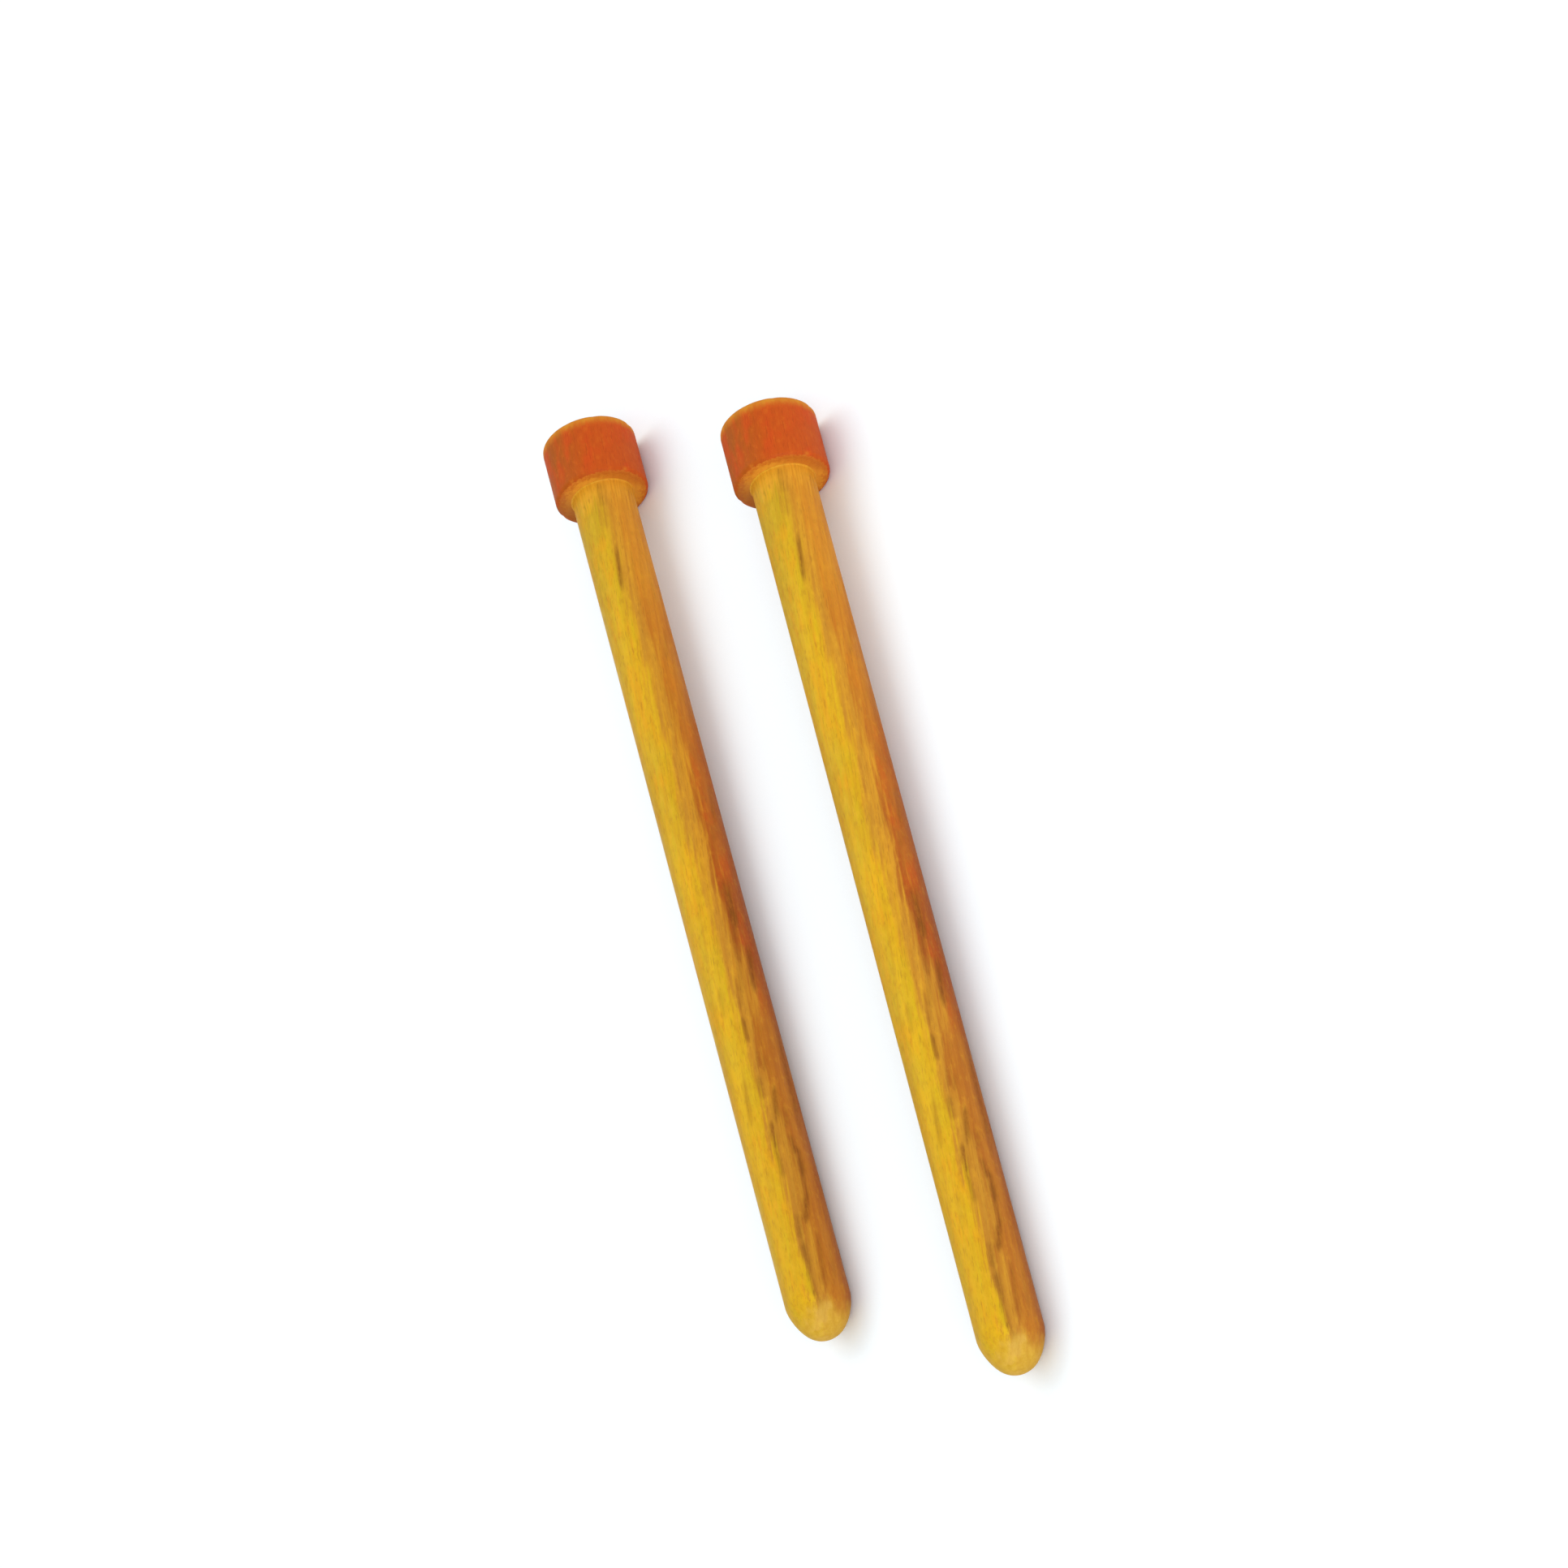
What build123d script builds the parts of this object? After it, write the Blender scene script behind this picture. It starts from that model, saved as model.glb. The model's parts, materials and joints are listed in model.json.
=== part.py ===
from build123d import *

import os
from math import asin, atan2, cos, hypot, radians, sin

# A pair of identical straight knitting needles, lying side by side on a flat surface.
#
# Each needle is a wooden dowel shaft with a blunt rounded tip. Its other end has a turned
# tenon, glued into the blind socket of a wider end cap that stops the stitches. Both needles
# point their tips to -Y. Because the cap is wider than the shaft, a needle lies on the cap's
# inner rim and on the start of its tip, and its axis falls slightly from the cap to the tip.
#
# The origin is on the surface, below the centre of the pair. Lengths are in millimetres.

# One needle
NEEDLE_LENGTH = 250.0
SHAFT_DIAMETER = 15.0
NOSE_LENGTH = 9.7

# Outline of the nose: how far before the end the side still heads straight on, and the
# radius that the blunt end reaches for. Both are the handles of one Bezier curve.
NOSE_SIDE_HANDLE = 8.0
NOSE_END_HANDLE = 5.8

# End cap
CAP_DIAMETER = 22.8
CAP_LENGTH = 16.8
OUTER_RIM_FILLET = 1.3
INNER_RIM_FILLET = 1.2

# Glued joint: the shaft's shoulder stands on the cap, and its tenon fills the socket
TENON_DIAMETER = 10.0
TENON_LENGTH = 10.7
TENON_CHAMFER = 0.8
SHOULDER_CHAMFER = 0.4
SOCKET_DEPTH = 11.0
SOCKET_MOUTH_CHAMFER = 0.5
GLUE_GAP = 0.05

# Where the right needle lies, measured from the left one
RIGHT_SPACING = 64.6
RIGHT_STAGGER = 42.8
RIGHT_TURN = -1.24

shaft_radius = SHAFT_DIAMETER / 2
tenon_radius = TENON_DIAMETER / 2
cap_radius = CAP_DIAMETER / 2
tenon_end = CAP_LENGTH - TENON_LENGTH
nose_start = NEEDLE_LENGTH - NOSE_LENGTH

# The needle touches the surface at the centre line of the inner rim's fillet and at the
# start of the nose. These two give the fall of its axis and the height of the cap's end.
rest_span = nose_start - CAP_LENGTH + INNER_RIM_FILLET
rest_step = cap_radius - INNER_RIM_FILLET - shaft_radius
rest_tilt = atan2(rest_step, rest_span) + asin(INNER_RIM_FILLET / hypot(rest_step, rest_span))
cap_end_height = (
    INNER_RIM_FILLET
    + (cap_radius - INNER_RIM_FILLET) * cos(rest_tilt)
    + (CAP_LENGTH - INNER_RIM_FILLET) * sin(rest_tilt)
)

# The pair is centred on the origin. The left cap reaches furthest to +Y, with the lower edge
# of its leaning end face, and the right needle's tip reaches furthest to -Y.
cap_lean = (cap_radius - OUTER_RIM_FILLET) * sin(rest_tilt)
right_reach = NEEDLE_LENGTH * cos(rest_tilt) * cos(radians(RIGHT_TURN))
left_cap_y = (RIGHT_STAGGER + right_reach - cap_lean) / 2
left_cap_x = -RIGHT_SPACING / 2


def needle_plane(cap_x, cap_y, turn):
    """Plane on the cap's flat end, centred on the needle, with z running to the tip."""
    turn = radians(turn)
    across = Vector(cos(turn), sin(turn), 0)
    along = Vector(sin(turn) * cos(rest_tilt), -cos(turn) * cos(rest_tilt), -sin(rest_tilt))
    return Plane(origin=(cap_x, cap_y, cap_end_height), x_dir=across, z_dir=along)


def make_shaft(plane, label):
    """Dowel turned about the needle's axis, from its tenon inside the cap to the blunt tip."""
    centre_line = Axis(plane.origin, plane.z_dir)
    half_section = Plane(origin=plane.origin, x_dir=plane.x_dir, z_dir=-plane.y_dir)
    with BuildPart() as shaft:
        with BuildSketch(half_section):
            with BuildLine():
                Polyline(
                    (0, NEEDLE_LENGTH),
                    (0, tenon_end),
                    (tenon_radius - TENON_CHAMFER, tenon_end),
                    (tenon_radius, tenon_end + TENON_CHAMFER),
                    (tenon_radius, CAP_LENGTH),
                    (shaft_radius - SHOULDER_CHAMFER, CAP_LENGTH),
                    (shaft_radius, CAP_LENGTH + SHOULDER_CHAMFER),
                    (shaft_radius, nose_start),
                )
                Bezier(
                    (shaft_radius, nose_start),
                    (shaft_radius, NEEDLE_LENGTH - NOSE_SIDE_HANDLE),
                    (NOSE_END_HANDLE, NEEDLE_LENGTH),
                    (0, NEEDLE_LENGTH),
                )
            make_face()
        revolve(axis=centre_line)
    shaft.part.label = label
    export_step(shaft.part, f"parts/{label}.step")


def make_end_cap(plane, label):
    """Turned cap with soft rims and a blind socket bored from the shaft's side."""
    centre_line = Axis(plane.origin, plane.z_dir)
    inner_face = plane.offset(CAP_LENGTH)
    with BuildPart() as end_cap:
        with BuildSketch(plane):
            Circle(cap_radius)
        extrude(amount=CAP_LENGTH)
        rims = end_cap.edges().filter_by(GeomType.CIRCLE).sort_by(centre_line)
        fillet(rims[0], OUTER_RIM_FILLET)
        fillet(rims[-1], INNER_RIM_FILLET)
        with Locations(inner_face):
            Hole(tenon_radius + GLUE_GAP, SOCKET_DEPTH)
        mouth = end_cap.faces().sort_by(centre_line)[-1].inner_wires()[0].edges()
        chamfer(mouth, SOCKET_MOUTH_CHAMFER)
    end_cap.part.label = label
    export_step(end_cap.part, f"parts/{label}.step")


os.makedirs("parts", exist_ok=True)

needle_planes = {
    "left": needle_plane(left_cap_x, left_cap_y, 0),
    "right": needle_plane(left_cap_x + RIGHT_SPACING, left_cap_y - RIGHT_STAGGER, RIGHT_TURN),
}

for side, plane in needle_planes.items():
    make_shaft(plane, f"{side}_shaft")
    make_end_cap(plane, f"{side}_end_cap")
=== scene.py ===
import json
import math

import bpy
import numpy as np
from mathutils import Matrix, Quaternion, Vector, noise


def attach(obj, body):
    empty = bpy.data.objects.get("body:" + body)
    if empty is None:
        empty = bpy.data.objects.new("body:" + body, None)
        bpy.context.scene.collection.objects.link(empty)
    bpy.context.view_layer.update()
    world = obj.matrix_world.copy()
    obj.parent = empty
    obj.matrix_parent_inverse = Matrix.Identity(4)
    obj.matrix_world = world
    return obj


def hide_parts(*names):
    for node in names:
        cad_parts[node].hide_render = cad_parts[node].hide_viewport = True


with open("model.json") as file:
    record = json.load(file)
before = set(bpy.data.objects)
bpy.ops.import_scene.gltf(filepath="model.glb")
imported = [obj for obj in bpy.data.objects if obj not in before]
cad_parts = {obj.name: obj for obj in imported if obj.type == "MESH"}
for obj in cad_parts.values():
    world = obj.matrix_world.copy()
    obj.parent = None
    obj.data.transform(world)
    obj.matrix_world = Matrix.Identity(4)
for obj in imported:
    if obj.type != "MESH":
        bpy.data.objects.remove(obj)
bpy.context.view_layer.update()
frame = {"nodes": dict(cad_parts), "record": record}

# Looks of a pair of straight wooden knitting needles. Everything is in metres, in the
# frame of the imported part: +Z up from the surface, caps towards +Y, tips towards -Y.
#
# Each needle has its own axes as well: the origin is on the cap's flat end, z runs down
# the shaft to the tip, and y points up from the surface. Its two pieces are turned in
# those axes and keep each point's place in them as the attribute "wood_mm", which the
# materials read, so the grain runs through both pieces and moves with them.

MM = 0.001
SIDES = ("left", "right")

# Outlines, as the CAD part has them
NOSE_SIDE_HANDLE = 8.0 * MM
NOSE_END_HANDLE = 5.8 * MM
TENON_RADIUS = 5.0 * MM
TENON_LENGTH = 10.7 * MM
TENON_CHAMFER = 0.8 * MM
SOCKET_RADIUS = 5.05 * MM
SOCKET_DEPTH = 11.0 * MM
SOCKET_MOUTH_CHAMFER = 0.5 * MM
OUTER_RIM = 1.3 * MM
INNER_RIM = 1.2 * MM

# How finely the meshes are divided
SEGMENTS = 192
SHAFT_SPACING = 0.7 * MM
CAP_SIDE_SPACING = 0.25 * MM
CAP_FACE_SPACING = 0.2 * MM
NOSE_POINTS = 40
RIM_POINTS = 12
BEAD_POINTS = 6
SHARP_EDGE = math.radians(40)

# What making and use leave on the wood, all of it inwards from the CAD surface
GLUE_BEAD = 0.35 * MM
WALL_WAVE = 0.04 * MM
NOSE_WAVE = 0.10 * MM
FIBRE_DEPTH = 0.010 * MM
STREAK_DEPTH = 0.07 * MM
TOOL_MARK_DEPTH = 0.020 * MM
NICK_DEPTH = 0.22 * MM
FACE_HOLLOW = 0.15 * MM

# Sizes of the lumps in that relief, as (across, up, along), and spacing of the tool marks
SHAFT_LUMPS = (9 * MM, 9 * MM, 38 * MM)
FIBRE_LUMPS = (0.5 * MM, 0.5 * MM, 14 * MM)
NOSE_LUMPS = (4.5 * MM, 4.5 * MM, 4.5 * MM)
CAP_LUMPS = (7 * MM, 7 * MM, 7 * MM)
FACE_MARK_PITCH = 0.45 * MM
SIDE_MARK_PITCH = 0.55 * MM

# The wood: which way its heart is, how far off the pith is and how wide a year's growth,
# both in millimetres, and how far its fibres drift away from the heart side for each step
# towards the tip. Angles about the needle are measured from straight up towards +x.
HEART_SIDE = math.radians(139)
HEART_WAY = Vector((math.sin(HEART_SIDE), math.cos(HEART_SIDE), 0))
PITH_AWAY = 34.0
RING_WIDTH = 1.9
FIBRE_RUN_OUT = 0.085

# The studio
FLOOR_SIZE = 6.0
KEY_PLACE = (-0.30, 0.75, 1.15)
KEY_SIZE = 1.2
KEY_POWER = 5.0
KEY_TINT = (1.0, 0.98, 0.95)
FILL_PLACE = (1.00, -0.85, 0.62)
FILL_SIZE = 0.9
FILL_POWER = 10.5
FILL_TINT = (0.90, 0.97, 1.0)
ROOM_TINT = (0.97, 0.995, 1.01, 1.0)
ROOM_STRENGTH = 0.86

# The viewer looks down on the pair from the tips' end and the right, with the head
# tilted over to the side, so that the needles stand nearly upright in the picture.
VIEW_AZIMUTH = math.radians(50.23)
VIEW_ELEVATION = math.radians(33.61)
VIEW_ROLL = math.radians(79.91)
VIEW_DISTANCE = 1.4805
VIEW_AIM = Vector((0.0039, 0.0212, 0.010))
LENS = 149.06
CLIP_START = 0.05
CLIP_END = 50.0

mounts = {mount["name"]: mount for mount in frame["record"]["mounts"]}


# ---- Needle axes and sizes, read from the frame ----


def needle_axes(side):
    """Matrix from a needle's own axes to the row frame."""
    cap_end = mounts[f"{side}_cap_end"]
    along = -Vector(cap_end["axis"])
    across = Vector((0, 0, 1)).cross(along).normalized()
    axes = Matrix((across, along.cross(across), along)).transposed().to_4x4()
    axes.translation = Vector(cap_end["pos_m"])
    return axes


def reach(node, axes):
    """How far a CAD node goes along its needle's axis and out from it."""
    to_needle = axes.inverted()
    points = [to_needle @ vertex.co for vertex in frame["nodes"][node].data.vertices]
    return max(p.z for p in points), max(p.xy.length for p in points)


axes_of = {side: needle_axes(side) for side in SIDES}
needle_length = reach("left_shaft", axes_of["left"])[0]
cap_length, cap_radius = reach("left_end_cap", axes_of["left"])
shaft_wall = mounts["left_shaft_outside"]
shaft_radius = shaft_wall["dims"]["r_mm"] * MM
wall_middle = (Vector(shaft_wall["pos_m"]) - axes_of["left"].translation).length
nose_start = wall_middle + shaft_wall["dims"]["length_mm"] * MM / 2


# ---- Outlines ----


def arc(centre, radius, start, end, count):
    """Points of a round corner, as (radius, z), between two angles in degrees."""
    turns = np.radians(np.linspace(start, end, count))
    return [(centre[0] + radius * math.sin(t), centre[1] - radius * math.cos(t)) for t in turns]


def straight(start, end, spacing):
    """Points from start up to but not including end, about spacing apart."""
    count = max(1, round(math.dist(start, end) / spacing))
    return [tuple(np.add(start, np.subtract(end, start) * i / count)) for i in range(count)]


def bezier(handles, count):
    """Points on a cubic Bezier curve, without its first point."""
    handles = np.array(handles)
    weights = (1, 3, 3, 1)
    steps = np.linspace(0, 1, count + 1)[1:]
    return [
        tuple(sum(w * (1 - t) ** (3 - k) * t**k * handles[k] for k, w in enumerate(weights)))
        for t in steps
    ]


def shaft_outline():
    """Half section of a shaft, from the tenon's end on the axis to the tip on the axis."""
    tenon_end = cap_length - TENON_LENGTH
    bead_top = cap_length + GLUE_BEAD
    nose = [
        (shaft_radius, nose_start),
        (shaft_radius, needle_length - NOSE_SIDE_HANDLE),
        (NOSE_END_HANDLE, needle_length),
        (0, needle_length),
    ]
    return [
        (0, tenon_end),
        (TENON_RADIUS - TENON_CHAMFER, tenon_end),
        (TENON_RADIUS, tenon_end + TENON_CHAMFER),
        (TENON_RADIUS, cap_length),
        *arc((shaft_radius + GLUE_BEAD, bead_top), GLUE_BEAD, 0, -80, BEAD_POINTS),
        *straight((shaft_radius, bead_top), nose[0], SHAFT_SPACING),
        nose[0],
        *bezier(nose, NOSE_POINTS),
    ]


def cap_outline():
    """Half section of an end cap, from its outer face over its side into the socket."""
    flat = cap_radius - OUTER_RIM
    inner_flat = cap_radius - INNER_RIM
    mouth = SOCKET_RADIUS + SOCKET_MOUTH_CHAMFER
    side_end = cap_length - INNER_RIM
    floor = cap_length - SOCKET_DEPTH
    return [
        *straight((0, 0), (flat, 0), CAP_FACE_SPACING),
        *arc((flat, OUTER_RIM), OUTER_RIM, 0, 90, RIM_POINTS),
        *straight((cap_radius, OUTER_RIM), (cap_radius, side_end), CAP_SIDE_SPACING)[1:],
        *arc((inner_flat, side_end), INNER_RIM, 90, 180, RIM_POINTS),
        *straight((inner_flat, cap_length), (mouth, cap_length), CAP_FACE_SPACING)[1:],
        (mouth, cap_length),
        (SOCKET_RADIUS, cap_length - SOCKET_MOUTH_CHAMFER),
        (SOCKET_RADIUS, floor),
        (0, floor),
    ]


# ---- Wear and making, as fields over a piece's points ----


def field(points, lumps, seed):
    """Smooth noise from -1 to 1 whose lumps are (across, up, along) big."""
    scaled = points / np.array(lumps) + seed
    return np.array([noise.noise(Vector(p)) for p in scaled])


def tool_marks(places, pitch, seed):
    """Fine turning marks from 0 to 1 at places along a line."""
    marks = np.array([noise.noise(Vector((place / pitch, *seed))) for place in places])
    return (marks + 1) / 2


def smooth_step(low, high, value):
    """0 at low, 1 at high, and smooth between. low may be the greater one."""
    part = np.clip((value - low) / (high - low), 0, 1)
    return part * part * (3 - 2 * part)


# Long dark grain lines on a shaft, open enough to feel: how far in millimetres from the
# cap's flat end and at which angle in degrees a line begins, the same for its end, its
# width in millimetres, and how strong it is.
STREAKS = (
    (16, 50, 25, 48, 1.5, 0.75),
    (24, 47, 31, 43, 1.4, 0.30),
    (20, 36, 36, 26, 2.2, 0.25),
    (35, 51, 50, 39, 1.1, 0.90),
    (60, 104, 71, 88, 1.2, 0.35),
    (84, 56, 97, 48, 0.8, 0.20),
    (104, 112, 118, 96, 1.6, 0.45),
    (117, 98, 122, 86, 2.0, 0.30),
    (130, 88, 147, 80, 2.0, 0.95),
    (137, 84, 146, 81, 2.2, 0.60),
    (144, 78, 157, 71, 1.4, 0.55),
    (149, 99, 164, 86, 2.2, 0.95),
    (155, 69, 164, 60, 1.2, 0.45),
    (158, 57, 169, 51, 1.0, 0.40),
    (160, 23, 169, 18, 1.3, 0.45),
    (169, 51, 177, 49, 1.4, 0.85),
    (170, 118, 202, 104, 2.2, 0.60),
    (178, 61, 184, 55, 1.1, 0.40),
    (180, 70, 185, 66, 1.4, 0.40),
    (185, 51, 192, 49, 1.5, 0.80),
    (184, 24, 198, 14, 1.3, 0.45),
    (188, 75, 199, 59, 1.5, 0.85),
    (194, 80, 200, 76, 1.8, 0.50),
    (197, 52, 205, 49, 1.5, 0.90),
    (203, 47, 213, 49, 1.3, 0.75),
    (201, 77, 207, 84, 1.7, 0.70),
    (204, 84, 213, 84, 2.0, 0.90),
    (211, 83, 219, 79, 1.7, 0.70),
    (217, 79, 225, 64, 1.7, 0.95),
    (221, 51, 229, 49, 1.4, 0.75),
    (228, 50, 237, 50, 1.5, 0.90),
    (235, 48, 243, 47, 1.4, 0.80),
    (241, 50, 248, 56, 1.4, 0.60),
    (226, 80, 242, 70, 1.3, 0.50),
    (228, 100, 240, 92, 1.1, 0.35),
    (60, 172, 84, 158, 1.2, 0.55),
    (112, 196, 140, 178, 1.5, 0.80),
    (176, 214, 196, 201, 1.1, 0.60),
    (30, 262, 52, 248, 1.3, 0.70),
    (96, 292, 128, 270, 1.4, 0.50),
    (152, 300, 188, 279, 1.2, 0.65),
    (206, 250, 236, 232, 1.3, 0.80),
)


def streaks(points):
    """Strength of the dark grain lines at each point of a shaft, from 0 to 1."""
    angle = np.arctan2(points[:, 0], points[:, 1])
    total = np.zeros(len(points))
    for start, start_angle, end, end_angle, width, strength in STREAKS:
        part = (points[:, 2] / MM - start) / (end - start)
        line = np.radians(start_angle + (end_angle - start_angle) * part)
        off = (np.mod(angle - line + math.pi, 2 * math.pi) - math.pi) * shaft_radius / MM
        # a line is faint and narrow at both ends
        taper = np.clip(6 * part * (1 - part), 0, 1)
        total += strength * taper * np.exp(-((off / (width * (0.35 + 0.65 * taper) / 2)) ** 2))
    return np.clip(total, 0, 1)


# Knocks on a cap's rims: the angle in degrees that each is at, whether it is on the outer
# rim, and its size in millimetres. They sit part of the way into a rim's rounding.
NICK_INTO_RIM = 0.35
NICK_REACH = 0.6
NICKS = (
    (64, True, 1.5),
    (28, True, 0.9),
    (118, True, 1.1),
    (171, True, 1.3),
    (-35, True, 1.0),
    (-96, True, 1.6),
    (-150, True, 0.8),
    (88, False, 0.9),
    (16, False, 0.7),
    (-62, False, 1.1),
    (152, False, 0.8),
)


def nicks(points):
    """Strength of the knocks on a cap's two rims at each point, from 0 to 1."""
    total = np.zeros(len(points))
    for side, outer, size in NICKS:
        angle = math.radians(side)
        height = NICK_INTO_RIM * OUTER_RIM if outer else cap_length - NICK_INTO_RIM * INNER_RIM
        spot = np.array([cap_radius * math.sin(angle), cap_radius * math.cos(angle), height])
        far = np.linalg.norm(points - spot, axis=1)
        total += np.exp(-((far / (NICK_REACH * size * MM)) ** 2))
    return np.clip(total, 0, 1)


def shape_shaft(points):
    """A sanded dowel: a little uneven, with raised fibres, open grain lines and a faceted nose."""
    radial = np.linalg.norm(points[:, :2], axis=1)
    shown = smooth_step(cap_length + GLUE_BEAD, cap_length + 4 * GLUE_BEAD, points[:, 2])
    wave = field(points, SHAFT_LUMPS, 3.1) * 0.5 + 0.5
    fibre = field(points, FIBRE_LUMPS, 7.7) * 0.5 + 0.5
    nose = smooth_step(nose_start, nose_start + 2 * MM, points[:, 2])
    facets = np.abs(field(points, NOSE_LUMPS, 5.9))
    worn = streaks(points)

    depth = WALL_WAVE * wave + FIBRE_DEPTH * fibre + STREAK_DEPTH * worn
    depth += NOSE_WAVE * nose * facets
    inward = np.clip(1 - shown * depth / np.maximum(radial, MM), 0, 1)
    moved = points.copy()
    moved[:, :2] *= inward[:, None]
    return moved, worn * shown


def shape_cap(points):
    """A turned cap: fine tool marks, a slightly hollow end face, and knocked rims."""
    radial = np.linalg.norm(points[:, :2], axis=1)
    outward = points[:, :2] / np.maximum(radial, 0.1 * MM)[:, None]
    in_socket = (radial < SOCKET_RADIUS + 1.5 * SOCKET_MOUTH_CHAMFER) & (points[:, 2] > 2 * MM)
    on_end = smooth_step(OUTER_RIM, 0, points[:, 2])
    on_end *= smooth_step(cap_radius, cap_radius - OUTER_RIM, radial)
    on_inner = smooth_step(cap_length - INNER_RIM, cap_length, points[:, 2])
    on_side = smooth_step(cap_radius - 2 * OUTER_RIM, cap_radius, radial)

    face_marks = TOOL_MARK_DEPTH * tool_marks(radial, FACE_MARK_PITCH, (0.4, 9.2))
    side_marks = TOOL_MARK_DEPTH * tool_marks(points[:, 2], SIDE_MARK_PITCH, (4.7, 1.3))
    wave = WALL_WAVE * (field(points, CAP_LUMPS, 2.3) * 0.5 + 0.5)
    hollow = FACE_HOLLOW * np.clip(1 - (radial / (cap_radius - OUTER_RIM)) ** 2, 0, 1)
    knocked = nicks(points)

    inset = on_side * (side_marks + wave) + NICK_DEPTH * knocked
    moved = points.copy()
    moved[:, :2] -= outward * inset[:, None]
    moved[:, 2] += on_end * (hollow + face_marks) - on_inner * face_marks
    moved[in_socket] = points[in_socket]
    return moved, np.where(in_socket, 0, knocked)


# ---- Turned meshes ----


def turned(name, side, outline, shape):
    """Closed mesh turned about a needle's axis.

    shape moves the points and says how worn each one is.
    """
    rings = np.array(outline[1:-1])
    turns = np.arange(SEGMENTS) * 2 * math.pi / SEGMENTS
    across = np.outer(rings[:, 0], np.cos(turns)).ravel()
    up = np.outer(rings[:, 0], np.sin(turns)).ravel()
    along = np.repeat(rings[:, 1], SEGMENTS)
    first = (0, 0, outline[0][1])
    last = (0, 0, outline[-1][1])
    points, worn = shape(np.vstack([first, np.column_stack([across, up, along]), last]))

    here = np.arange(SEGMENTS)
    after = (here + 1) % SEGMENTS
    top = len(points) - 1
    last_ring = top - SEGMENTS
    start = 1 + np.arange(len(rings) - 1)[:, None] * SEGMENTS
    corners = (start + here, start + SEGMENTS + here, start + SEGMENTS + after, start + after)
    faces = [(0, 1 + i, 1 + j) for i, j in zip(here, after)]
    faces += np.stack(corners, axis=-1).reshape(-1, 4).tolist()
    faces += [(top, last_ring + j, last_ring + i) for i, j in zip(here, after)]

    mesh = bpy.data.meshes.new(name)
    mesh.from_pydata(points.tolist(), [], faces)
    place = mesh.attributes.new("wood_mm", "FLOAT_VECTOR", "POINT")
    place.data.foreach_set("vector", (points / MM).astype(np.float32).ravel())
    wear = mesh.attributes.new("worn", "FLOAT", "POINT")
    wear.data.foreach_set("value", worn.astype(np.float32))
    mesh.transform(axes_of[side])
    mesh.shade_smooth()
    mesh.set_sharp_from_angle(angle=SHARP_EDGE)
    mesh.validate()
    return mesh


# ---- Materials ----


class Nodes:
    """Short words for building one material's nodes."""

    def __init__(self, name):
        self.material = bpy.data.materials.new(name)
        self.material.use_nodes = True
        self.tree = self.material.node_tree
        self.shader = self.tree.nodes["Principled BSDF"]

    def add(self, kind, inputs=(), **settings):
        """Node of a kind, with its inputs linked or set by name or place."""
        node = self.tree.nodes.new(kind)
        for name, value in settings.items():
            setattr(node, name, value)
        for key, value in dict(inputs).items():
            self.put(node.inputs[key], value)
        return node

    def put(self, socket, value):
        """Link a socket to another, or set its number, vector or colour."""
        if isinstance(value, bpy.types.NodeSocket):
            self.tree.links.new(value, socket)
        else:
            socket.default_value = value

    def math(self, operation, *values, clamp=False):
        """Output of one arithmetic step on numbers."""
        inputs = dict(enumerate(values))
        return self.add("ShaderNodeMath", inputs, operation=operation, use_clamp=clamp).outputs[0]

    def vector(self, operation, *values):
        """Node for one step on vectors. Its outputs are a vector and a number."""
        return self.add("ShaderNodeVectorMath", dict(enumerate(values)), operation=operation)

    def span(self, value, low, high, to_low=0.0, to_high=1.0):
        """value from low to high, smoothly stretched to to_low..to_high."""
        inputs = {0: value, 1: low, 2: high, 3: to_low, 4: to_high}
        return self.add("ShaderNodeMapRange", inputs, interpolation_type="SMOOTHSTEP").outputs[0]

    def profile(self, value, *stops):
        """A smooth line through stops of (value from 0 to 1, height)."""
        node = self.add("ShaderNodeValToRGB", {0: value})
        ramp = node.color_ramp
        ramp.interpolation = "EASE"
        for place, height in stops[1:-1]:
            ramp.elements.new(place).color = (height, height, height, 1)
        ends = ((ramp.elements[0], stops[0]), (ramp.elements[-1], stops[-1]))
        for element, (place, height) in ends:
            element.position = place
            element.color = (height, height, height, 1)
        return node.outputs[0]

    def mix(self, part, under, over):
        """One colour with part of another laid over it."""
        node = self.add("ShaderNodeMix", data_type="RGBA", blend_type="MIX", clamp_factor=True)
        for place, value in ((0, part), (6, under), (7, over)):
            self.put(node.inputs[place], value)
        return node.outputs[2]

    def noise(self, coordinates, lump, detail=2.0, roughness=0.5):
        """Noise from about 0 to 1, whose lumps are lump = (across, up, along) big."""
        scaled = self.vector("DIVIDE", coordinates, lump).outputs[0]
        inputs = {"Vector": scaled, "Scale": 1.0, "Detail": detail, "Roughness": roughness}
        return self.add("ShaderNodeTexNoise", inputs).outputs["Fac"]

    def bump(self, height, distance, normal=None):
        """Normal of a surface with this relief, on top of another normal if one is given."""
        inputs = {"Height": height, "Distance": distance}
        if normal is not None:
            inputs["Normal"] = normal
        return self.add("ShaderNodeBump", inputs).outputs["Normal"]

    def finish(self, colour, roughness, normal, specular):
        """Give the shader its values and return the material."""
        self.put(self.shader.inputs["Base Color"], colour)
        self.put(self.shader.inputs["Roughness"], roughness)
        self.put(self.shader.inputs["Normal"], normal)
        self.shader.inputs["Specular IOR Level"].default_value = specular
        return self.material


def srgb(red, green, blue):
    """A colour as it looks on a screen, from 0 to 255, as the numbers a shader takes."""
    parts = [c / 255 for c in (red, green, blue)]
    return (*[c / 12.92 if c <= 0.04045 else ((c + 0.055) / 1.055) ** 2.4 for c in parts], 1.0)


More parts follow.
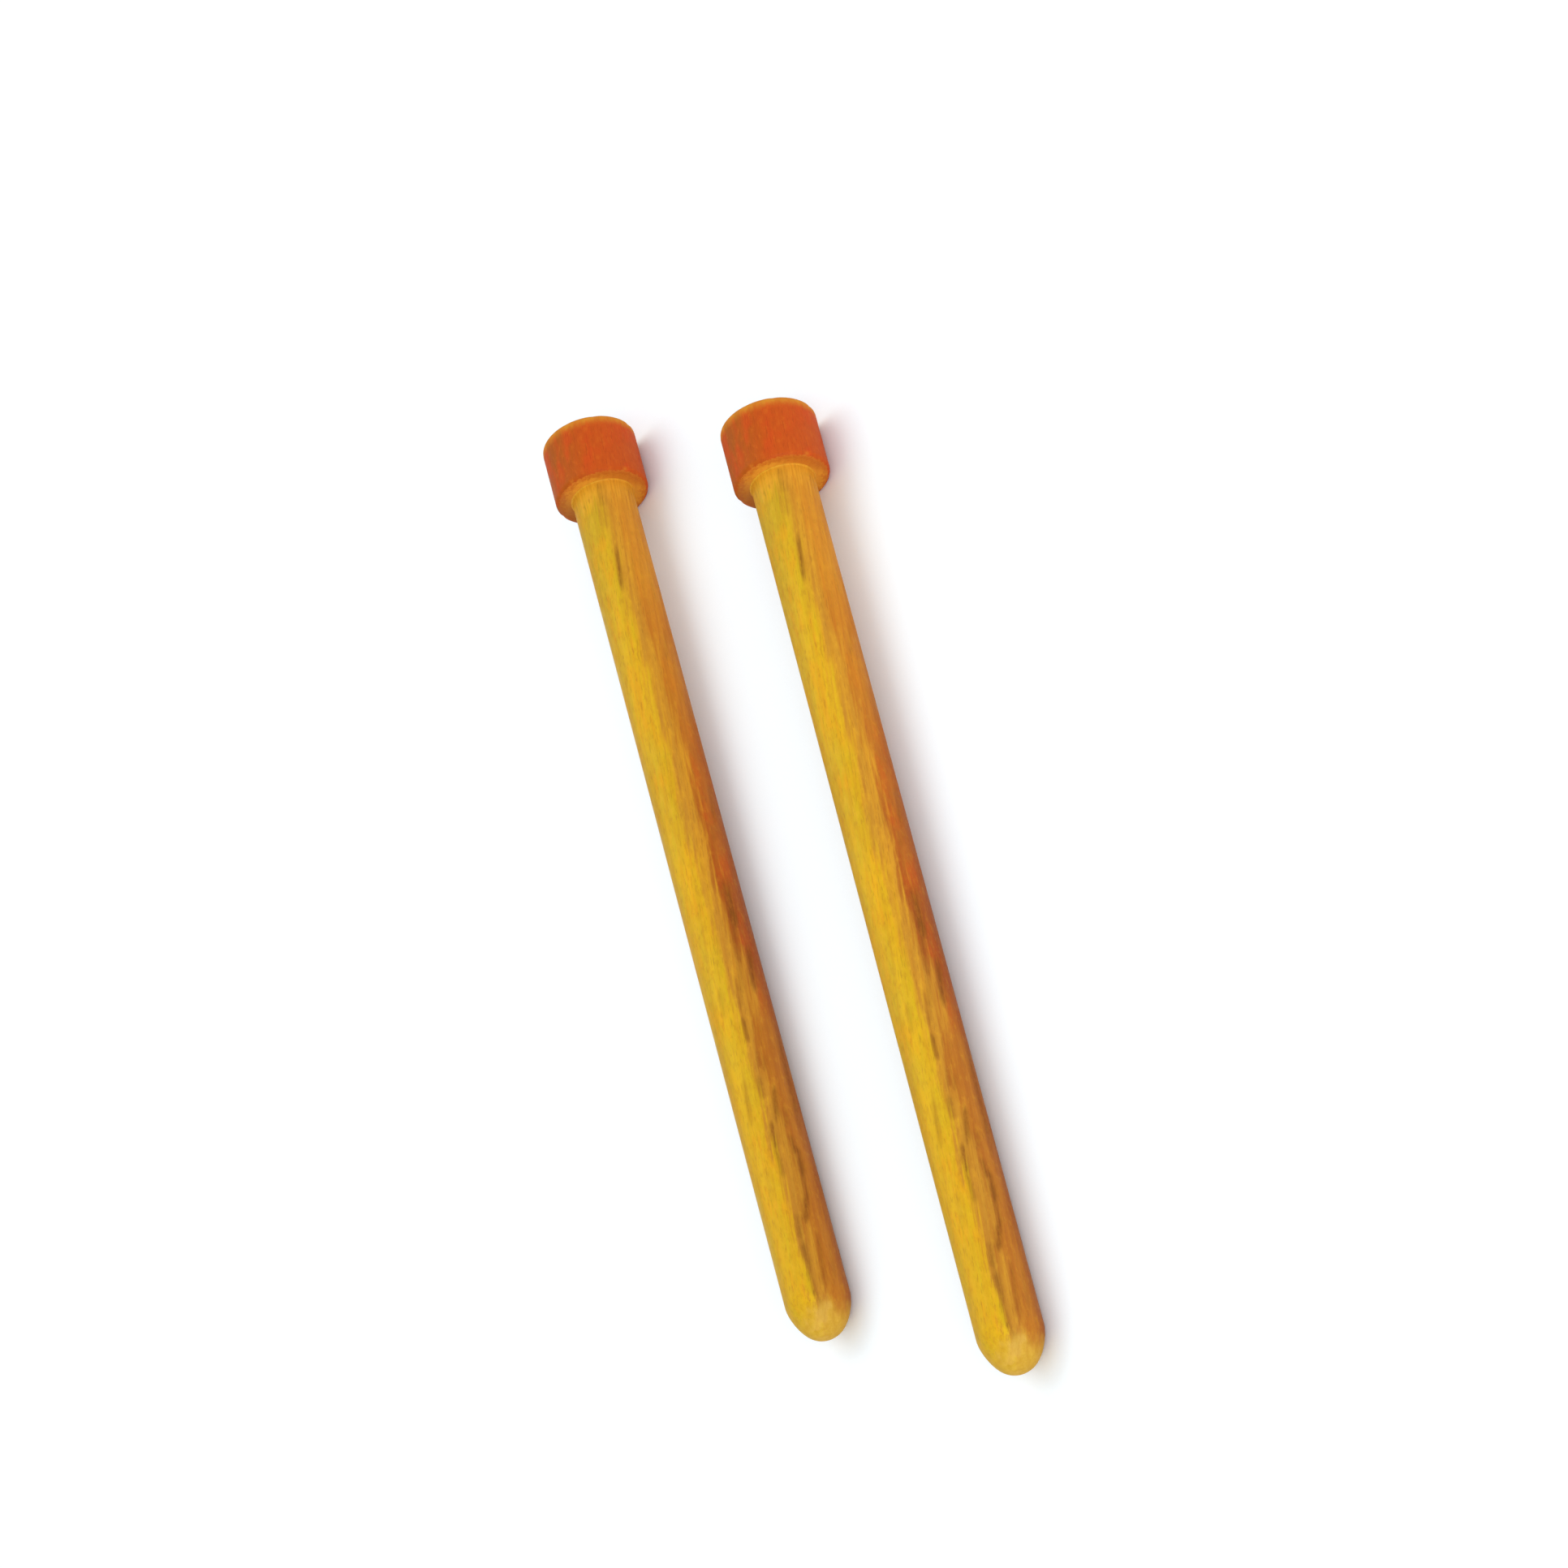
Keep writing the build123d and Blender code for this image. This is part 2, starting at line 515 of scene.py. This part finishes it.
class Wood:
    """Values that a needle's wood has at a point, shared by its shaft and its cap."""

    def __init__(self, nodes, radius):
        self.plain = nodes.add("ShaderNodeAttribute", attribute_name="wood_mm").outputs["Vector"]
        self.across, _, self.along = nodes.add("ShaderNodeSeparateXYZ", {0: self.plain}).outputs
        self.worn = nodes.add("ShaderNodeAttribute", attribute_name="worn").outputs["Fac"]
        flat = nodes.vector("MULTIPLY", self.plain, (1, 1, 0)).outputs[0]
        self.radial = nodes.vector("LENGTH", flat).outputs["Value"]

        # -1 on the pale side, 1 on the heart side
        towards_heart = nodes.vector("DOT_PRODUCT", self.plain, HEART_WAY).outputs["Value"]
        self.heart = nodes.math("DIVIDE", towards_heart, radius / MM)

        # coordinates that stay the same along a fibre, apart from z
        drift = nodes.math("MULTIPLY", self.along, FIBRE_RUN_OUT)
        drifted = nodes.vector("SCALE", HEART_WAY)
        nodes.put(drifted.inputs["Scale"], drift)
        self.fibres = nodes.vector("ADD", self.plain, drifted.outputs[0]).outputs[0]

        self.broad = nodes.noise(self.fibres, (4.0, 4.0, 40.0), 1.0)
        self.bands = nodes.noise(self.fibres, (1.5, 1.5, 17.0), 3.0, 0.6)
        self.lines = nodes.noise(self.fibres, (0.50, 0.50, 9.0), 2.0)
        self.threads = nodes.noise(self.fibres, (0.16, 0.16, 5.0), 1.0)
        self.pores = nodes.span(nodes.noise(self.fibres, (0.30, 0.30, 2.6), 1.0), 0.60, 0.72)
        self.mottle = nodes.noise(self.plain, (1.1, 1.1, 2.2), 3.0, 0.65)
        self.clouds = nodes.noise(self.plain, (4.0, 4.0, 9.0), 2.0)
        self.late = self.late_wood(nodes)

    def late_wood(self, nodes):
        """1 in the dark, dense line that ends each year's growth round the pith."""
        flat = nodes.vector("MULTIPLY", self.fibres, (1, 1, 0)).outputs[0]
        from_pith = nodes.vector("DISTANCE", flat, HEART_WAY * PITH_AWAY).outputs["Value"]
        years = nodes.math("DIVIDE", from_pith, RING_WIDTH)
        years = nodes.math("ADD", years, nodes.math("MULTIPLY", self.broad, 1.6))
        years = nodes.math("ADD", years, nodes.math("MULTIPLY", self.bands, 0.35))
        part = nodes.math("FRACT", years)
        return nodes.math("MULTIPLY", nodes.span(part, 0.35, 0.90), nodes.span(part, 1.0, 0.93))


# Colours of a shaft, round from the pale side to the heart side
PALE_GOLD = srgb(213, 166, 15)
PALE_OCHRE = srgb(200, 154, 14)
CAP_END_OLIVE = srgb(186, 152, 18)
WARM_PATCH = srgb(219, 150, 15)
COOL_PATCH = srgb(198, 164, 18)
BACK_OLIVE_AND_PAINTED_SHADE = srgb(172, 136, 18)
TAWNY = srgb(204, 141, 32)
DEEP_TAWNY = srgb(184, 127, 34)
TIP_TAWNY = srgb(170, 114, 34)
ORANGE = srgb(206, 136, 28)
DEEP_ORANGE = srgb(197, 122, 26)
RED = srgb(173, 90, 19)
DEEP_RED = srgb(158, 74, 17)
RED_PATCH = srgb(184, 73, 17)
BROWN = srgb(180, 110, 27)
DEEP_BROWN = srgb(164, 92, 23)
UNDERSIDE_PAINTED_SHADE = srgb(134, 59, 13)
BURNT_RED = srgb(132, 56, 16)

# Colours of the marks in a shaft
CREPT_STAIN = srgb(224, 155, 42)
LATE_WOOD = srgb(158, 88, 18)
FINE_LINE = srgb(170, 100, 18)
LIGHT_FLECK = srgb(220, 164, 34)
DARK_FLECK = srgb(172, 112, 20)
THREAD = srgb(152, 86, 16)
PORE = srgb(122, 70, 16)
OPEN_GRAIN = srgb(112, 62, 12)

# Colours of the nose, where the fibres are cut across, lighter in part as painted light
NOSE_TAN = srgb(194, 151, 42)
NOSE_GOLD = srgb(203, 160, 56)
NOSE_CREAM = srgb(210, 168, 78)
NOSE_RING = srgb(178, 120, 32)
NOSE_THREAD = srgb(164, 114, 34)

# Colours of a cap
STAIN_BROWN_AND_PAINTED_SHADE = srgb(161, 80, 13)
STAIN_RED = srgb(186, 76, 21)
STAIN_BLOTCH = srgb(196, 68, 23)
STAIN_LIGHT_FLECK = srgb(198, 96, 26)
STAIN_DARK_FLECK = srgb(162, 66, 20)
STAIN_LINE = srgb(152, 60, 18)
STAIN_PORE = srgb(116, 44, 14)
STAIN_RING = srgb(140, 54, 14)
THIN_STAIN_RIM = srgb(198, 110, 32)
NECK_THIN_STAIN_AND_PAINTED_LIGHT = srgb(220, 146, 44)
INNER_FACE_PAINTED_SHADE = srgb(146, 76, 26)
THIN_STAIN_RIGHT = srgb(186, 98, 30)
THIN_STAIN_RING = srgb(170, 92, 26)
BARE_WOOD = srgb(204, 140, 42)

FLOOR_WHITE = srgb(245, 249, 252)
FLOOR_BRIGHT = srgb(247, 251, 254)


def pale_side(nodes, wood):
    """Gold, greener towards the cap, with warmer and cooler patches, and darker and more olive at
    the back, partly as painted shade.
    """
    patches = nodes.math("MULTIPLY", wood.clouds, wood.bands)
    colour = nodes.mix(nodes.span(wood.broad, 0.35, 0.65), PALE_GOLD, PALE_OCHRE)
    colour = nodes.mix(nodes.span(wood.along, 90.0, 25.0, 0.0, 0.6), colour, CAP_END_OLIVE)
    colour = nodes.mix(nodes.span(patches, 0.24, 0.36, 0.0, 0.5), colour, WARM_PATCH)
    colour = nodes.mix(nodes.span(patches, 0.23, 0.14, 0.0, 0.5), colour, COOL_PATCH)
    # painted shade, with an olive tone, on the side turned furthest from the heart side
    return nodes.mix(nodes.span(wood.heart, -0.55, -1.0, 0.0, 0.35), colour, BACK_OLIVE_AND_PAINTED_SHADE)


def tawny_middle(nodes, wood):
    """Tawny, browner towards the tip."""
    colour = nodes.mix(nodes.span(wood.bands, 0.3, 0.7), TAWNY, DEEP_TAWNY)
    return nodes.mix(nodes.span(wood.along, 130.0, 200.0, 0.0, 0.5), colour, TIP_TAWNY)


def heart_side(nodes, wood, share):
    """Orange by the cap, red halfway, brown to the tip, with painted shade darkest underneath."""
    orange = nodes.mix(nodes.span(wood.bands, 0.3, 0.7), ORANGE, DEEP_ORANGE)
    red = nodes.mix(nodes.span(wood.bands, 0.3, 0.7), RED, DEEP_RED)
    red = nodes.mix(nodes.span(wood.clouds, 0.45, 0.65, 0.0, 0.6), red, RED_PATCH)
    brown = nodes.mix(nodes.span(wood.bands, 0.3, 0.7), BROWN, DEEP_BROWN)
    reddening = nodes.profile(share, (0.14, 0.0), (0.28, 0.3), (0.40, 0.75), (0.52, 1.0))
    colour = nodes.mix(reddening, orange, red)
    colour = nodes.mix(nodes.span(wood.along, 156.0, 174.0), colour, brown)
    # painted shade: the heart side made darkest underneath, where it turns to the floor
    under = nodes.math("MULTIPLY", reddening, nodes.span(wood.heart, 0.70, 0.95, 0.0, 0.6))
    return nodes.mix(under, colour, UNDERSIDE_PAINTED_SHADE)


def ragged_side(nodes, wood):
    """wood.heart, made to wander and fray along the grain."""
    ragged = nodes.math("MULTIPLY_ADD", wood.bands, 0.80, -0.40)
    ragged = nodes.math("ADD", ragged, nodes.math("MULTIPLY_ADD", wood.lines, 0.20, -0.10))
    return nodes.math("ADD", wood.heart, ragged)


def shaft_zones(nodes, wood, side):
    """The pale side gives way to the tawny middle, and that to the heart side."""
    share = nodes.math("DIVIDE", wood.along, needle_length / MM)
    blur = nodes.profile(share, (0.0, 0.60), (0.55, 0.45), (0.88, 0.20), (1.0, 0.22))
    to_tawny = nodes.math("DIVIDE", nodes.math("ADD", side, 0.10), blur)
    heart_line = nodes.profile(
        share,
        (0.05, 0.28),
        (0.35, 0.42),
        (0.52, 0.36),
        (0.64, 0.54),
        (0.73, 0.24),
        (0.84, 0.50),
        (0.90, 0.34),
        (1.0, 0.44),
    )
    past_heart = nodes.math("SUBTRACT", side, heart_line)
    pale = pale_side(nodes, wood)
    colour = nodes.mix(nodes.span(to_tawny, -0.5, 0.5), pale, tawny_middle(nodes, wood))
    heart = heart_side(nodes, wood, share)
    colour = nodes.mix(nodes.span(past_heart, -0.20, 0.16), colour, heart)
    burn = nodes.profile(share, (0.50, 0.0), (0.58, 1.0), (0.67, 0.0))
    burn = nodes.math("MULTIPLY", burn, nodes.span(side, 0.45, 0.85, 0.0, 0.35))
    return nodes.mix(burn, colour, BURNT_RED)


def crept_stain(nodes, wood, colour):
    """Stain from the cap has crept a little way down the shaft."""
    creep = nodes.math("ADD", wood.along, nodes.span(wood.lines, 0.3, 0.7, -2.0, 2.0))
    creep = nodes.span(creep, cap_length / MM + 8.0, cap_length / MM + 1.0, 0.0, 0.7)
    return nodes.mix(creep, colour, CREPT_STAIN)


def grain(nodes, wood, colour, side):
    """Growth lines, flecks, fibres and pores over a colour."""
    depth = nodes.span(wood.heart, -0.6, 0.5, 0.08, 0.20)
    colour = nodes.mix(nodes.math("MULTIPLY", wood.late, depth), colour, LATE_WOOD)
    colour = nodes.mix(nodes.span(wood.lines, 0.50, 0.78, 0.0, 0.24), colour, FINE_LINE)
    light = nodes.span(side, -0.2, 0.5, 0.32, 0.14)
    light = nodes.math("MULTIPLY", nodes.span(wood.mottle, 0.50, 0.72), light)
    colour = nodes.mix(light, colour, LIGHT_FLECK)
    colour = nodes.mix(nodes.span(wood.mottle, 0.48, 0.30, 0.0, 0.28), colour, DARK_FLECK)
    colour = nodes.mix(nodes.span(wood.threads, 0.55, 0.80, 0.0, 0.18), colour, THREAD)
    return nodes.mix(nodes.math("MULTIPLY", wood.pores, 0.24), colour, PORE)


def open_grain(nodes, wood):
    """How dark the open grain lines are, broken up by finer grain."""
    dark = nodes.math("MULTIPLY", wood.worn, nodes.span(wood.lines, 0.30, 0.6, 0.5, 1.0))
    return nodes.math("MULTIPLY", dark, nodes.span(wood.mottle, 0.35, 0.55, 0.6, 1.0))


def end_grain_and_painted_light(nodes, wood):
    """Duller wood of the nose, which cuts across the fibres under thin varnish, and lighter in
    part as painted light.
    """
    # these nose colours are partly painted light
    colour = nodes.mix(nodes.span(wood.mottle, 0.35, 0.65), NOSE_TAN, NOSE_GOLD)
    colour = nodes.mix(nodes.span(wood.clouds, 0.48, 0.62, 0.0, 0.6), colour, NOSE_CREAM)
    colour = nodes.mix(nodes.math("MULTIPLY", wood.late, 0.16), colour, NOSE_RING)
    return nodes.mix(nodes.span(wood.threads, 0.5, 0.8, 0.0, 0.2), colour, NOSE_THREAD)


def shaft_material():
    """Golden varnished wood: a pale side and a redder heart side that meet along the grain."""
    nodes = Nodes("shaft_wood")
    wood = Wood(nodes, shaft_radius)
    side = ragged_side(nodes, wood)
    colour = shaft_zones(nodes, wood, side)
    colour = crept_stain(nodes, wood, colour)
    colour = grain(nodes, wood, colour, side)
    dark = open_grain(nodes, wood)
    colour = nodes.mix(nodes.math("MULTIPLY", dark, 0.80), colour, OPEN_GRAIN)
    nose_edge = nodes.math("ADD", wood.along, nodes.span(wood.clouds, 0.3, 0.7, -1.5, 1.5))
    on_nose = nodes.span(nose_edge, nose_start / MM + 2.0, nose_start / MM + 7.0, 0.0, 0.75)
    colour = nodes.mix(on_nose, colour, end_grain_and_painted_light(nodes, wood))

    roughness = nodes.span(wood.clouds, 0.3, 0.7, 0.46, 0.58)
    roughness = nodes.math("ADD", roughness, nodes.math("MULTIPLY", dark, 0.2))
    roughness = nodes.math("ADD", roughness, nodes.math("MULTIPLY", on_nose, 0.2))
    normal = nodes.bump(wood.lines, 0.06 * MM)
    normal = nodes.bump(wood.threads, 0.02 * MM, normal)
    normal = nodes.bump(nodes.math("SUBTRACT", 1.0, wood.pores), 0.02 * MM, normal)
    return nodes.finish(colour, roughness, normal, specular=0.12)


def full_stain_and_painted_shade(nodes, wood):
    """Stain on a cap's side and end: browner and darker on the pale side, partly as painted shade,
    with blotches and grain.
    """
    side = nodes.math("ADD", wood.heart, nodes.span(wood.bands, 0.25, 0.75, -0.22, 0.22))
    # browner stain and painted shade, both towards the pale side
    colour = nodes.mix(nodes.span(side, -1.0, 0.25), STAIN_BROWN_AND_PAINTED_SHADE, STAIN_RED)
    colour = nodes.mix(nodes.span(wood.clouds, 0.42, 0.65, 0.0, 0.6), colour, STAIN_BLOTCH)
    colour = nodes.mix(nodes.span(wood.mottle, 0.50, 0.70, 0.0, 0.40), colour, STAIN_LIGHT_FLECK)
    colour = nodes.mix(nodes.span(wood.mottle, 0.48, 0.30, 0.0, 0.30), colour, STAIN_DARK_FLECK)
    colour = nodes.mix(nodes.span(wood.lines, 0.52, 0.80, 0.0, 0.14), colour, STAIN_LINE)
    colour = nodes.mix(nodes.math("MULTIPLY", wood.pores, 0.25), colour, STAIN_PORE)
    ring_depth = nodes.span(wood.along, 1.2, 0.2, 0.06, 0.24)
    return nodes.mix(nodes.math("MULTIPLY", wood.late, ring_depth), colour, STAIN_RING)


def thin_stain_with_painted_light(nodes, wood):
    """Stain on the face towards the shaft: thin near the shaft and lighter there, partly as
    painted light, with painted shade to the left and darker to the right.
    """
    near_shaft = nodes.math("ADD", wood.radial, nodes.span(wood.mottle, 0.3, 0.7, -0.8, 0.8))
    near_shaft = nodes.span(near_shaft, cap_radius / MM - 0.8, shaft_radius / MM + 1.2)
    # lighter near the shaft: thinner stain, and partly painted light
    colour = nodes.mix(near_shaft, THIN_STAIN_RIM, NECK_THIN_STAIN_AND_PAINTED_LIGHT)
    # painted shade in the crook between this face and the shaft, to the left
    colour = nodes.mix(nodes.span(wood.across, 2.0, -8.5, 0.0, 0.75), colour, INNER_FACE_PAINTED_SHADE)
    colour = nodes.mix(nodes.span(wood.across, 5.0, 9.0, 0.0, 0.7), colour, THIN_STAIN_RIGHT)
    return nodes.mix(nodes.math("MULTIPLY", wood.late, 0.15), colour, THIN_STAIN_RING)


def rubbed(nodes, wood):
    """How bare a cap is: at the rim of its end, and wherever it was knocked."""
    rim = nodes.math("ADD", wood.radial, nodes.span(wood.mottle, 0.3, 0.7, -0.5, 0.3))
    rim = nodes.span(rim, cap_radius / MM - 1.4, cap_radius / MM - 0.4)
    edge = nodes.math("ADD", wood.along, nodes.span(wood.mottle, 0.3, 0.7, -0.4, 0.4))
    bare = nodes.math("MULTIPLY", rim, nodes.span(edge, 3.4, 0.5))
    return nodes.math("ADD", bare, nodes.math("MULTIPLY", wood.worn, 0.6), clamp=True)


def cap_material():
    """Orange-red stain on turned wood, with painted shade on its pale side: thin on the inner
    face, which carries painted light and shade too, and rubbed through at the rims.
    """
    nodes = Nodes("cap_stain")
    wood = Wood(nodes, cap_radius)
    inner_edge = nodes.math("ADD", wood.along, nodes.span(wood.lines, 0.3, 0.7, -0.12, 0.12))
    on_inner = nodes.span(inner_edge, cap_length / MM - 0.30, cap_length / MM - 0.05)
    colour = nodes.mix(on_inner, full_stain_and_painted_shade(nodes, wood), thin_stain_with_painted_light(nodes, wood))
    bare = rubbed(nodes, wood)
    bare_part = nodes.math("MULTIPLY", bare, nodes.span(wood.clouds, 0.35, 0.65, 0.5, 0.8))
    colour = nodes.mix(bare_part, colour, BARE_WOOD)

    roughness = nodes.span(wood.clouds, 0.3, 0.7, 0.48, 0.60)
    roughness = nodes.math("ADD", roughness, nodes.math("MULTIPLY", bare, 0.12))
    turning = nodes.noise(wood.plain, (1e6, 1e6, 0.35), 2.0)
    normal = nodes.bump(wood.lines, 0.05 * MM)
    normal = nodes.bump(turning, 0.03 * MM, normal)
    normal = nodes.bump(wood.threads, 0.02 * MM, normal)
    return nodes.finish(colour, roughness, normal, specular=0.06)


def floor_material():
    """Pale matt card with a faint tooth."""
    nodes = Nodes("floor_card")
    place = nodes.add("ShaderNodeTexCoord").outputs["Object"]
    tooth = nodes.noise(place, (0.8 * MM, 0.8 * MM, 0.8 * MM))
    colour = nodes.mix(tooth, FLOOR_WHITE, FLOOR_BRIGHT)
    return nodes.finish(colour, 0.9, nodes.bump(tooth, 0.02 * MM), specular=0.1)


# ---- The pieces ----


def add_piece(mesh, side, material, node):
    """A turned piece that rides on its needle's body in place of its CAD node."""
    mesh.materials.append(material)
    piece = bpy.data.objects.new(mesh.name, mesh)
    bpy.context.scene.collection.objects.link(piece)
    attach(piece, f"{side}_needle")
    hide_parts(node)


shaft_wood = shaft_material()
cap_stain = cap_material()
for side in SIDES:
    shaft = turned(f"{side}_turned_shaft", side, shaft_outline(), shape_shaft)
    add_piece(shaft, side, shaft_wood, f"{side}_shaft")
    cap = turned(f"{side}_turned_cap", side, cap_outline(), shape_cap)
    add_piece(cap, side, cap_stain, f"{side}_end_cap")


# ---- Studio: floor, light and camera ----


def lay_floor():
    """A wide card for the needles to lie on."""
    half = FLOOR_SIZE / 2
    corners = [(-half, -half, 0), (half, -half, 0), (half, half, 0), (-half, half, 0)]
    mesh = bpy.data.meshes.new("floor")
    mesh.from_pydata(corners, [], [(0, 1, 2, 3)])
    mesh.materials.append(floor_material())
    floor = bpy.data.objects.new("floor", mesh)
    bpy.context.scene.collection.objects.link(floor)


def soft_box(name, place, size, power, tint):
    """Square area light at a place, turned to the frame's origin."""
    light = bpy.data.lights.new(name, "AREA")
    light.shape = "SQUARE"
    light.size = size
    light.energy = power
    light.color = tint
    lamp = bpy.data.objects.new(name, light)
    lamp.location = place
    lamp.rotation_mode = "QUATERNION"
    lamp.rotation_quaternion = (-Vector(place)).to_track_quat("-Z", "Y")
    bpy.context.scene.collection.objects.link(lamp)


def light_room():
    """Even light from all round, and colours shown as they are."""
    world = bpy.data.worlds.new("studio")
    world.use_nodes = True
    background = world.node_tree.nodes["Background"]
    background.inputs["Color"].default_value = ROOM_TINT
    background.inputs["Strength"].default_value = ROOM_STRENGTH
    bpy.context.scene.world = world
    bpy.context.scene.view_settings.view_transform = "Standard"


def set_camera():
    """Camera aimed as the view constants say, then rolled about its line of sight."""
    back = Vector(
        (
            math.sin(VIEW_AZIMUTH) * math.cos(VIEW_ELEVATION),
            -math.cos(VIEW_AZIMUTH) * math.cos(VIEW_ELEVATION),
            math.sin(VIEW_ELEVATION),
        )
    )
    data = bpy.data.cameras.new("camera")
    data.lens = LENS
    data.clip_start = CLIP_START
    data.clip_end = CLIP_END
    camera = bpy.data.objects.new("camera", data)
    camera.location = VIEW_AIM + back * VIEW_DISTANCE
    camera.rotation_mode = "QUATERNION"
    level = (-back).to_track_quat("-Z", "Y")
    camera.rotation_quaternion = level @ Quaternion((0, 0, 1), -VIEW_ROLL)
    bpy.context.scene.collection.objects.link(camera)
    bpy.context.scene.camera = camera


lay_floor()
soft_box("key_box", KEY_PLACE, KEY_SIZE, KEY_POWER, KEY_TINT)
soft_box("fill_box", FILL_PLACE, FILL_SIZE, FILL_POWER, FILL_TINT)
light_room()
set_camera()
